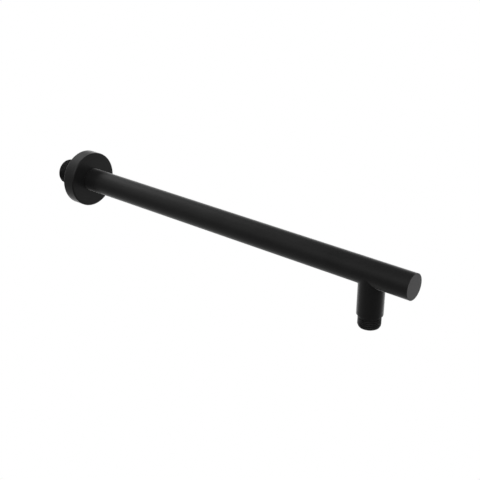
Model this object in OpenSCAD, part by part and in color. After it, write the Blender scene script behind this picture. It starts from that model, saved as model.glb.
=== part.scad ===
// Wall-mounted shower arm: a straight round tube that stands out from the
// wall, closed at its far end, with a short threaded outlet hanging below it.
// A loose hollow cover plate slides on the tube and hides the wall fitting. It
// is put on before the wall thread is fixed in the tube, and can't come off.
//
// Frame: the origin is where the tube's axis crosses the wall face. The arm
// runs along -Y, +Z is up, and the wall thread stands out along +Y.

/* [Arm tube] */
// Outer diameter of the tube
tube_d = 24; // [23:0.5:25]
// Wall thickness of the tube
tube_wall = 1.5; // [1:0.1:2]
// Distance from the wall face to the tube's far end
arm_reach = 406; // [250:1:600]
// Chamfer round the far end of the tube
end_chamfer = 0.1; // [0.1:0.1:0.8]
// Thickness of the plug that closes the far end
plug_t = 4; // [3:0.5:8]

/* [Outlet] */
// Distance from the tube's far end back to the outlet's axis
outlet_setback = 40.5; // [30:0.5:100]
// Distance from the tube's axis down to the flat shoulder
shoulder_z = 38.8; // [30:0.1:60]
// Chamfer round the shoulder
shoulder_chamfer = 0.3; // [0.2:0.1:0.6]
// Length of the outlet thread, from the shoulder to the end face
outlet_thread_l = 11.9; // [8:0.1:16]
// Depth of the lead-in at the end of the outlet thread
outlet_lead_depth = 1; // [0.5:0.1:1.5]
// Length of that lead-in
outlet_lead_l = 2; // [0.6:0.1:3]
// Bore of the outlet
outlet_bore_d = 15; // [12:0.5:15.5]
// Diameter of the pilot ring that seats in the tube's side hole
pilot_d = 18; // [17:0.5:19]

/* [Wall thread] */
// Length of the threaded inlet behind the wall face
inlet_l = 27; // [18:0.5:40]
// Chamfer at the end of the wall thread
inlet_chamfer = 1.2; // [0.5:0.1:1.5]
// Length of the spigot that is pressed and bonded into the tube
spigot_l = 10; // [6:0.5:16]
// Bore of the inlet
inlet_bore_d = 16; // [12:0.5:17]

/* [Cover plate] */
// Outer diameter of the plate
plate_d = 57.5; // [54:0.5:70]
// Overall thickness of the plate
plate_t = 14.3; // [10:0.1:20]
// Thickness of the plate's front wall
plate_front_t = 5; // [4.5:0.5:6]
// Thickness of the plate's rim
plate_rim_t = 2.5; // [2:0.5:4]
// Radius of the plate's round front edge
plate_round = 1.2; // [0.5:0.1:2.4]
// Radius of the plate's round back edge
plate_back_round = 0.8; // [0.3:0.1:1.2]
// Gap between the plate's hole and the tube, each side
plate_gap = 0.25; // [0.2:0.05:0.5]
// Section of the rubber ring that grips the tube
ring_section_d = 2.4; // [2:0.1:2.6]

/* [Hidden] */
$fn = 96;

// Outer diameters of the pipe threads: 1/2 inch outlet, 3/4 inch inlet
outlet_thread_d = 20.955;
inlet_thread_d = 26.441;
// Play between the rubber ring and its neighbours, each side
ring_play = 0.03;
// Width of the ring's groove
groove_w = ring_section_d + 0.5;

tube_r = tube_d / 2;
tube_ri = tube_r - tube_wall;
outlet_y = arm_reach - outlet_setback;
// A hair under the tube's own radius, so that the saddle keeps a real edge
stub_r = tube_r - 0.1;
outlet_r = outlet_thread_d / 2;
outlet_bottom = shoulder_z + outlet_thread_l;
inlet_r = inlet_thread_d / 2;
plate_bore_r = tube_r + plate_gap;
ring_r = tube_r + ring_play + ring_section_d / 2;
groove_r = tube_r + 2 * ring_play + ring_section_d;
ring_at = plate_t - plate_front_t / 2;

// Turns a shape drawn along +Z so that it runs along the arm, -Y
module along_arm() rotate([90, 0, 0]) children();

// Ring profile swept round the axis: points are [radius, height]
module turned(points) rotate_extrude() polygon(points);

module arm_tube() color([0.12, 0.12, 0.12]) difference() {
    along_arm() turned([
        [tube_ri, 0],
        [tube_r - 0.3, 0],
        [tube_r, 0.3],
        [tube_r, arm_reach - end_chamfer],
        [tube_r - end_chamfer, arm_reach],
        [tube_ri, arm_reach]
    ]);
    // Side hole for the outlet
    translate([0, -outlet_y, -tube_d]) cylinder(d = pilot_d, h = tube_d);
}

module end_cap() color([0.14, 0.14, 0.14]) along_arm() turned([
    [0, arm_reach - plug_t],
    [tube_ri - 0.5, arm_reach - plug_t],
    [tube_ri, arm_reach - plug_t + 0.5],
    [tube_ri, arm_reach],
    [0, arm_reach]
]);

module outlet_nipple() color([0.12, 0.12, 0.12]) difference() {
    translate([0, -outlet_y, 0]) rotate([180, 0, 0]) difference() {
        union() {
            // Barrel, its upper end cut to the tube as a saddle
            difference() {
                turned([
                    [0, 0],
                    [stub_r, 0],
                    [stub_r, shoulder_z - shoulder_chamfer],
                    [stub_r - shoulder_chamfer, shoulder_z],
                    [outlet_r, shoulder_z],
                    [outlet_r, outlet_bottom - outlet_lead_l],
                    [outlet_r - outlet_lead_depth, outlet_bottom],
                    [0, outlet_bottom]
                ]);
                rotate([90, 0, 0]) cylinder(r = tube_r, h = 2 * tube_d, center = true);
            }
            // Pilot ring through the tube's wall
            difference() {
                cylinder(d = pilot_d, h = tube_r + 2);
                rotate([90, 0, 0]) cylinder(r = tube_ri, h = 2 * tube_d, center = true);
            }
        }
        // Waterway, widened a little at the mouth
        turned([
            [0, -1],
            [outlet_bore_d / 2, -1],
            [outlet_bore_d / 2, outlet_bottom - 0.5],
            [outlet_bore_d / 2 + 0.5, outlet_bottom],
            [outlet_bore_d / 2 + 0.5, outlet_bottom + 1],
            [0, outlet_bottom + 1]
        ]);
    }
}

module wall_nipple() color([0.12, 0.12, 0.12]) along_arm() turned([
    [inlet_bore_d / 2 + 0.5, -inlet_l],
    [inlet_r - inlet_chamfer, -inlet_l],
    [inlet_r, -inlet_l + inlet_chamfer],
    [inlet_r, 0],
    [tube_ri, 0],
    [tube_ri, spigot_l - 0.5],
    [tube_ri - 0.5, spigot_l],
    [inlet_bore_d / 2, spigot_l],
    [inlet_bore_d / 2, -inlet_l + 0.5]
]);

module wall_flange() color([0.14, 0.14, 0.14]) along_arm() rotate_extrude() {
    polygon([
        [plate_d / 2 - plate_rim_t, 0],
        [plate_d / 2 - plate_back_round, 0],
        [plate_d / 2, plate_back_round],
        [plate_d / 2, plate_t - plate_round],
        [plate_d / 2 - plate_round, plate_t],
        [plate_bore_r + 0.1, plate_t],
        [plate_bore_r, plate_t - 0.1],
        [plate_bore_r, ring_at + groove_w / 2],
        [groove_r, ring_at + groove_w / 2],
        [groove_r, ring_at - groove_w / 2],
        [plate_bore_r, ring_at - groove_w / 2],
        [plate_bore_r, plate_t - plate_front_t],
        [plate_d / 2 - plate_rim_t - 1, plate_t - plate_front_t],
        [plate_d / 2 - plate_rim_t, plate_t - plate_front_t - 1]
    ]);
    // Round front and back edges
    translate([plate_d / 2 - plate_round, plate_t - plate_round]) circle(r = plate_round);
    translate([plate_d / 2 - plate_back_round, plate_back_round]) circle(r = plate_back_round);
}

module flange_o_ring() color([0.05, 0.05, 0.05]) along_arm()
    translate([0, 0, ring_at]) rotate_extrude()
        translate([ring_r, 0]) circle(d = ring_section_d, $fn = 48);

arm_tube();
end_cap();
outlet_nipple();
wall_nipple();
wall_flange();
flange_o_ring();
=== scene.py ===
import bpy
import math
import numpy as np
from mathutils import Matrix, Vector


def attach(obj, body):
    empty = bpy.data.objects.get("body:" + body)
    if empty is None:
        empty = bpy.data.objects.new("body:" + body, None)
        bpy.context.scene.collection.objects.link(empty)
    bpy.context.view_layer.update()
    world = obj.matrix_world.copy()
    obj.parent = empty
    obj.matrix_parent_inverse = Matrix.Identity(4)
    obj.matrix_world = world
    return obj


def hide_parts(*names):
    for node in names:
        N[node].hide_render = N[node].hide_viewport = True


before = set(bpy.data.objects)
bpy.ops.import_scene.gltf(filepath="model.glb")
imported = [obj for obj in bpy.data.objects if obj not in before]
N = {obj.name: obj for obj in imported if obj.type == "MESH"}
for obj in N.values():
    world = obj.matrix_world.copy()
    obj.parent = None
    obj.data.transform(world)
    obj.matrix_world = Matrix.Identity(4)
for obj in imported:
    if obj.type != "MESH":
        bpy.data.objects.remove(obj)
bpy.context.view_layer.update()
scene = bpy.context.scene
MM = 0.001

# ------------------------------------------------------------------ camera
AZ, EL, ROLL = -50.101, 24.374, 0.0
CAM_AT = (-0.609891, -0.728955, 0.348413)
FOCAL_PX = 922.236


def camera():
    a, e, r = (math.radians(x) for x in (AZ, EL, ROLL))
    back = Vector((math.sin(a) * math.cos(e), -math.cos(a) * math.cos(e), math.sin(e)))
    right = Vector((math.cos(a), math.sin(a), 0.0))
    up = back.cross(right)
    right2 = right * math.cos(r) + up * math.sin(r)
    up2 = up * math.cos(r) - right * math.sin(r)
    cam = bpy.data.objects.new("camera", bpy.data.cameras.new("camera"))
    scene.collection.objects.link(cam)
    m = Matrix((right2, up2, back)).transposed().to_4x4()
    m.translation = Vector(CAM_AT)
    cam.matrix_world = m
    cam.data.sensor_width = 36.0
    cam.data.lens = 36.0 * FOCAL_PX / 480.0
    cam.data.clip_start, cam.data.clip_end = 0.01, 100.0
    cam.data.dof.use_dof = False
    scene.camera = cam


camera()

# --------------------------------------------------------------- materials


class Nodes:
    """A small helper round one node tree."""

    def __init__(self, name):
        self.mat = bpy.data.materials.new(name)
        self.mat.use_nodes = True
        self.t = self.mat.node_tree
        self.t.nodes.clear()
        self.out = self.add("ShaderNodeOutputMaterial")
        self.bsdf = self.add("ShaderNodeBsdfPrincipled")
        self.link(self.bsdf.outputs["BSDF"], self.out.inputs["Surface"])
        self.coord = self.add("ShaderNodeTexCoord").outputs["Object"]

    def add(self, kind):
        return self.t.nodes.new(kind)

    def link(self, a, b):
        self.t.links.new(a, b)

    def noise(self, scale, detail=3.0, rough=0.5, stretch=None):
        n = self.add("ShaderNodeTexNoise")
        n.inputs["Scale"].default_value = scale
        n.inputs["Detail"].default_value = detail
        n.inputs["Roughness"].default_value = rough
        src = self.coord
        if stretch:
            m = self.add("ShaderNodeMapping")
            m.inputs["Scale"].default_value = stretch
            self.link(src, m.inputs["Vector"])
            src = m.outputs["Vector"]
        self.link(src, n.inputs["Vector"])
        return n.outputs["Fac"]

    def span(self, value, lo, hi, a=0.3, b=0.7):
        m = self.add("ShaderNodeMapRange")
        m.inputs["From Min"].default_value = a
        m.inputs["From Max"].default_value = b
        m.inputs["To Min"].default_value = lo
        m.inputs["To Max"].default_value = hi
        self.link(value, m.inputs["Value"])
        return m.outputs["Result"]

    def math(self, op, a, b):
        m = self.add("ShaderNodeMath")
        m.operation = op
        for i, v in enumerate((a, b)):
            if isinstance(v, (int, float)):
                m.inputs[i].default_value = v
            else:
                self.link(v, m.inputs[i])
        return m.outputs[0]

    def mix(self, fac, a, b):
        m = self.add("ShaderNodeMix")
        m.data_type = "RGBA"
        self.link(fac, m.inputs["Factor"])
        m.inputs["A"].default_value = (*a, 1.0)
        m.inputs["B"].default_value = (*b, 1.0)
        return m.outputs["Result"]

    def bump(self, height, distance, strength=1.0):
        b = self.add("ShaderNodeBump")
        b.inputs["Distance"].default_value = distance
        b.inputs["Strength"].default_value = strength
        self.link(height, b.inputs["Height"])
        self.link(b.outputs["Normal"], self.bsdf.inputs["Normal"])


def black_coating(name, tone=0.0209, rough=0.315, grain=1.0):
    """Satin black coating: low gloss, a faint orange peel and a fine grain, and the soft sheen of its fine texture at grazing angles."""
    n = Nodes(name)
    b = n.bsdf
    b.inputs["Metallic"].default_value = 0.0
    b.inputs["IOR"].default_value = 1.5
    b.inputs["Sheen Weight"].default_value = 0.9
    b.inputs["Sheen Roughness"].default_value = 0.3
    b.inputs["Sheen Tint"].default_value = (1.0, 1.0, 1.0, 1.0)
    cloud = n.noise(38.0, 4.0, 0.55)
    fine = n.noise(2600.0, 2.0, 0.6)
    both = n.math("ADD", n.math("MULTIPLY", cloud, 0.7), n.math("MULTIPLY", fine, 0.3))
    n.link(n.mix(n.span(both, 0.0, 1.0), (tone * 0.85,) * 3, (tone * 1.2,) * 3), b.inputs["Base Color"])
    n.link(n.span(both, rough - 0.03, rough + 0.04), b.inputs["Roughness"])
    peel = n.noise(520.0, 2.0, 0.45)
    h = n.math("ADD", n.math("MULTIPLY", peel, 1.0), n.math("MULTIPLY", fine, 0.35))
    n.bump(h, 0.000012 * grain, 0.5)
    return n.mat


def bare_brass(name):
    """Machined brass inside the waterways, dulled, with a fine random grain."""
    n = Nodes(name)
    b = n.bsdf
    b.inputs["Metallic"].default_value = 1.0
    dull = n.noise(240.0, 4.0, 0.6)
    n.link(n.mix(n.span(dull, 0.0, 1.0), (0.30, 0.19, 0.075), (0.46, 0.31, 0.13)), b.inputs["Base Color"])
    n.link(n.span(dull, 0.38, 0.52), b.inputs["Roughness"])
    n.bump(n.noise(1800.0, 2.0, 0.5), 0.00002, 0.4)
    return n.mat


def rubber(name):
    n = Nodes(name)
    b = n.bsdf
    b.inputs["IOR"].default_value = 1.45
    fine = n.noise(1500.0, 3.0, 0.6)
    n.link(n.mix(n.span(fine, 0.0, 1.0), (0.008,) * 3, (0.014,) * 3), b.inputs["Base Color"])
    n.link(n.span(fine, 0.55, 0.68), b.inputs["Roughness"])
    n.bump(fine, 0.00003, 0.5)
    return n.mat


M_ARM = black_coating("arm_coating_detail")
M_PLATE = black_coating("plate_coating_detail")
M_OUTLET = black_coating("outlet_coating_detail")
M_INLET = black_coating("inlet_coating_detail")
M_BRASS = bare_brass("bare_brass")
M_RUBBER = rubber("ring_rubber_detail")


def paint(obj, mat):
    for s in obj.material_slots:
        s.material = mat
    if not obj.material_slots:
        obj.data.materials.append(mat)


paint(N["arm_tube"], M_ARM)
paint(N["end_cap"], M_ARM)
paint(N["wall_flange"], M_PLATE)
paint(N["flange_o_ring"], M_RUBBER)

# ------------------------------------------------------------ thread meshes
PITCH = 1.814


def whitworth(u):
    """Depth below the crest, in pitches, at u pitches along from a crest line: 55 degree flanks, round crest and root."""
    u = np.abs((u + 0.5) % 1.0 - 0.5)
    r = 0.1373
    u1, d1 = r * math.sin(math.radians(62.5)), r * (1 - math.cos(math.radians(62.5)))
    slope = 1 / math.tan(math.radians(27.5))
    d2 = d1 + (0.5 - 2 * u1) * slope
    crest = r - np.sqrt(np.maximum(r * r - u * u, 0))
    root = (d2 + d1) - (r - np.sqrt(np.maximum(r * r - (0.5 - u) ** 2, 0)))
    flank = d1 + (u - u1) * slope
    return np.where(u < u1, crest, np.where(u > 0.5 - u1, root, flank))


def lathe(rows, turns):
    """Vertices of rows of points round an axis. rows is a list of (radius array, axial array), each of length turns."""
    th = np.linspace(0, 2 * np.pi, turns, endpoint=False)
    out = []
    for r, s in rows:
        out.append(np.stack([r * np.cos(th), r * np.sin(th), np.broadcast_to(s, r.shape)], 1))
    return np.concatenate(out)


def mesh_object(name, verts, n_rows, turns, closed, materials, row_material, hard_rows):
    """A grid mesh of n_rows rings, each of turns points; closed joins the last ring to the first. verts are in metres, in the frame."""
    i = np.arange(n_rows if closed else n_rows - 1)
    j = np.arange(turns)
    a0, b0 = np.meshgrid(i * turns, j, indexing="ij")
    a1 = np.broadcast_to((((i + 1) % n_rows) * turns)[:, None], a0.shape)
    k = np.broadcast_to(((j + 1) % turns)[None, :], a0.shape)
    quads = np.stack([a0 + b0, a0 + k, a1 + k, a1 + b0], -1).reshape(-1, 4)
    v = verts[quads]
    centre = verts.mean(0)
    volume = np.einsum("ij,ij->i", v[:, 0] - centre, np.cross(v[:, 1] - centre, v[:, 2] - centre)).sum()
    volume += np.einsum("ij,ij->i", v[:, 0] - centre, np.cross(v[:, 2] - centre, v[:, 3] - centre)).sum()
    if volume < 0:
        quads = quads[:, ::-1]
    me = bpy.data.meshes.new(name)
    me.from_pydata(verts.tolist(), [], quads.tolist())
    me.polygons.foreach_set("material_index", np.repeat(np.array(row_material[: len(i)], np.int32), turns))
    me.polygons.foreach_set("use_smooth", np.ones(len(quads), bool))
    for m in materials:
        me.materials.append(m)
    me.update()
    # Rings where the profile turns a real corner keep a hard edge
    ev = np.zeros(len(me.edges) * 2, np.int32)
    me.edges.foreach_get("vertices", ev)
    ring = ev.reshape(-1, 2) // turns
    hard = np.zeros(n_rows, bool)
    hard[list(hard_rows)] = True
    same = ring[:, 0] == ring[:, 1]
    at = me.attributes.new("sharp_edge", "BOOLEAN", "EDGE")
    at.data.foreach_set("value", same & hard[ring[:, 0]])
    o = bpy.data.objects.new(name, me)
    scene.collection.objects.link(o)
    return o


class Profile:
    """Rings of a turned piece, from one end of its outside round to the start again."""

    def __init__(self, turns):
        self.turns, self.rows, self.mat, self.hard = turns, [], [], []
        self.th = np.linspace(0, 2 * np.pi, turns, endpoint=False)

    def ring(self, r, s, mat=0, hard=False):
        if hard:
            self.hard.append(len(self.rows))
        self.rows.append((np.broadcast_to(np.asarray(r, float), (self.turns,)), np.broadcast_to(np.asarray(s, float), (self.turns,))))
        self.mat.append(mat)

    def rounded(self, p0, p1, p2, radius, steps=4, mat=0):
        """Rings of a small arc that rounds the corner p1 between p0 and p2."""
        a, b, c = (np.array(p, float) for p in (p0, p1, p2))
        u, v = (a - b) / np.linalg.norm(a - b), (c - b) / np.linalg.norm(c - b)
        for k in range(steps + 1):
            t = k / steps
            q = b + u * radius * (1 - t) ** 2 + v * radius * t ** 2
            self.ring(q[0], q[1], mat)

    def build(self, name, materials, place, closed=True):
        """place turns (x, y, s) round the piece's own axis, in mm, into the frame."""
        verts = place(*lathe(self.rows, self.turns).T) * MM
        return mesh_object(name, verts, len(self.rows), self.turns, closed, materials, self.mat, self.hard)


def thread_rows(p, crest, s0, s1, fade_at, fade_l, lead, end_at, phase=0.0, per_pitch=22, hand=1.0, mat=0):
    """Rings of a threaded length from s0 to s1. The groove fades out over fade_l at the start, and a cone cuts the crests at the free end. lead is its depth and length."""
    n = max(4, int(round(abs(s1 - s0) / PITCH * per_pitch)))
    way = 1.0 if s1 > s0 else -1.0
    for s in np.linspace(s0, s1, n + 1):
        u = (s / PITCH + hand * p.th / (2 * np.pi) + phase)
        fade = min(1.0, max(0.0, (s - fade_at) * way / fade_l))
        fade = fade * fade * (3 - 2 * fade)
        r = crest - PITCH * whitworth(u) * fade
        lim = crest - max(0.0, lead[0] * (1 - abs(end_at - s) / lead[1]))
        p.ring(np.minimum(r, lim), s, mat)


# The wall nipple: s is the distance from the wall face, along -Y
def wall_nipple():
    R, RI, RB = 13.2205, 10.5, 8.0
    END, SPIG, CH = -27.0, 10.0, 1.2
    p = Profile(180)
    # outside, from the front shoulder back to the wall end
    p.rounded((RI, 0), (R, 0), (R, -3), 0.12, 3)
    thread_rows(p, R, -0.5, END, -0.4, 2.2, (CH, CH), END, hand=-1.0)
    p.ring(R - CH, END, hard=True)
    p.ring(RB + 0.5, END, hard=True)
    p.ring(RB, END + 0.5, 1)
    for s in np.linspace(END + 1.5, SPIG - 0.3, 12):
        p.ring(RB, s, 1)
    p.ring(RB, SPIG, 1, hard=True)
    p.ring(RI - 0.5, SPIG, 0, hard=True)
    p.ring(RI, SPIG - 0.5, 0)
    p.ring(RI, 0.02, 0)
    p.ring(RI, 0.0, 0, hard=True)
    return p.build("wall_nipple_threaded", [M_INLET, M_BRASS], lambda x, y, s: np.stack([x, -s, y], 1))


def outlet_nipple():
    RT, RTI = 12.0, 10.5
    RS, R, RB, RP = 11.9, 10.4775, 7.5, 9.0
    Z1, END = 38.8, 50.7
    LEAD = (1.0, 2.0)
    p = Profile(180)
    th = p.th
    x = lambda r: r * np.cos(th)  # across the arm
    saddle = lambda r, rt: np.sqrt(np.maximum(rt * rt - x(r) ** 2, 0.0))
    # pilot ring: from the tube's inner wall out to the saddle
    p.ring(RB, saddle(RB, RTI), 1, hard=True)
    p.ring(RP, saddle(RP, RTI), 0, hard=True)
    p.ring(RP, saddle(RP, RT), 0, hard=True)
    # saddle face on the tube, then a small fillet of braze and coating
    e = np.minimum(0.8, 11.985 / np.maximum(np.abs(np.cos(th)), 1e-6) - RS)
    e = np.maximum(e, 0.0)
    a = np.stack([RS + e, saddle(RS + e, RT)])
    b = np.stack([np.full_like(th, RS), saddle(RS, RT)])
    c = np.stack([np.full_like(th, RS), saddle(RS, RT) + e])
    steps = 5
    for k in range(steps + 1):
        t = k / steps
        q = a * (1 - t) ** 2 + 2 * b * t * (1 - t) + c * t ** 2
        p.ring(q[0], q[1], 0, hard=(k == 0))
    for f in np.linspace(0.06, 0.96, 14):
        p.ring(RS, c[1] * (1 - f) + (Z1 - 0.3) * f, 0)
    p.rounded((RS, Z1 - 5), (RS, Z1), (R, Z1), 0.15, 3)
    p.hard.append(len(p.rows))
    thread_rows(p, R, Z1, END, Z1 + 1.6, 0.8, LEAD, END, hand=1.0)
    p.ring(R - LEAD[0], END, hard=True)
    p.ring(RB + 0.5, END, hard=True)
    p.ring(RB, END - 0.5, 1)
    for z in np.linspace(END - 1.5, 11.5, 14):
        p.ring(RB, z, 1)
    return p.build("outlet_nipple_threaded", [M_OUTLET, M_BRASS], lambda x, y, s: np.stack([x, y - 365.5, -s], 1))


inlet = wall_nipple()
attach(inlet, "arm")
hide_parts("wall_nipple")
outlet = outlet_nipple()
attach(outlet, "arm")
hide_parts("outlet_nipple")

# ------------------------------------------------------- floor, light, world
FLOOR_Z = -0.60


def floor():
    """A plain white floor, bright as a lit light table. It shows to the camera and doesn't shade or light the part."""
    me = bpy.data.meshes.new("floor")
    s = 40.0
    me.from_pydata([(-s, -s, FLOOR_Z), (s, -s, FLOOR_Z), (s, s, FLOOR_Z), (-s, s, FLOOR_Z)], [], [(0, 1, 2, 3)])
    o = bpy.data.objects.new("floor", me)
    scene.collection.objects.link(o)
    n = Nodes("floor_white")
    n.bsdf.inputs["Base Color"].default_value = (0, 0, 0, 1)
    n.bsdf.inputs["Specular IOR Level"].default_value = 0.0
    n.bsdf.inputs["Emission Color"].default_value = (1, 1, 1, 1)
    n.bsdf.inputs["Emission Strength"].default_value = 1.0
    me.materials.append(n.mat)
    o.visible_diffuse = o.visible_glossy = o.visible_transmission = o.visible_shadow = False


floor()


def direction(az, el):
    """The direction of a camera at that azimuth and elevation, seen from the part."""
    a, e = math.radians(az), math.radians(el)
    return Vector((math.sin(a) * math.cos(e), -math.cos(a) * math.cos(e), math.sin(e)))


# The soft studio: broad soft lobes of light. Azimuth, elevation, tightness, brightness
LOBES = [
    (-72, 38, 8.37, 1.125),
    (93, -24, 6.18, 0.947),
    (148, -14, 10.74, 1.004),
    (173, 25, 19.58, 1.929),
    (16, 31, 3.83, 0.419),
    (177, -45, 2.10, 0.252),
    (-152, 24, 12.16, 0.205),
]


def studio():
    world = bpy.data.worlds.new("studio")
    scene.world = world
    world.use_nodes = True
    t = world.node_tree
    t.nodes.clear()
    out = t.nodes.new("ShaderNodeOutputWorld")
    coord = t.nodes.new("ShaderNodeTexCoord").outputs["Generated"]
    total = None
    for az, el, tight, bright in LOBES:
        dot = t.nodes.new("ShaderNodeVectorMath")
        dot.operation = "DOT_PRODUCT"
        t.links.new(coord, dot.inputs[0])
        dot.inputs[1].default_value = direction(az, el)
        bend = t.nodes.new("ShaderNodeMath")
        bend.operation = "MULTIPLY_ADD"
        t.links.new(dot.outputs["Value"], bend.inputs[0])
        bend.inputs[1].default_value, bend.inputs[2].default_value = tight, -tight
        lobe = t.nodes.new("ShaderNodeMath")
        lobe.operation = "EXPONENT"
        t.links.new(bend.outputs[0], lobe.inputs[0])
        add = t.nodes.new("ShaderNodeMath")
        add.operation = "MULTIPLY_ADD"
        t.links.new(lobe.outputs[0], add.inputs[0])
        add.inputs[1].default_value = bright
        if total is None:
            add.inputs[2].default_value = 0.0
        else:
            t.links.new(total, add.inputs[2])
        total = add.outputs[0]
    light = t.nodes.new("ShaderNodeBackground")
    light.inputs["Color"].default_value = (1, 1, 1, 1)
    t.links.new(total, light.inputs["Strength"])
    seen = t.nodes.new("ShaderNodeBackground")
    seen.inputs["Strength"].default_value = 1.0
    seen.inputs["Color"].default_value = (1, 1, 1, 1)
    path = t.nodes.new("ShaderNodeLightPath")
    mix = t.nodes.new("ShaderNodeMixShader")
    t.links.new(path.outputs["Is Camera Ray"], mix.inputs["Fac"])
    t.links.new(light.outputs[0], mix.inputs[1])
    t.links.new(seen.outputs[0], mix.inputs[2])
    t.links.new(mix.outputs[0], out.inputs["Surface"])


studio()

scene.view_settings.view_transform = "Standard"
scene.view_settings.look = "None"
scene.view_settings.exposure = 0.0
scene.view_settings.gamma = 1.0
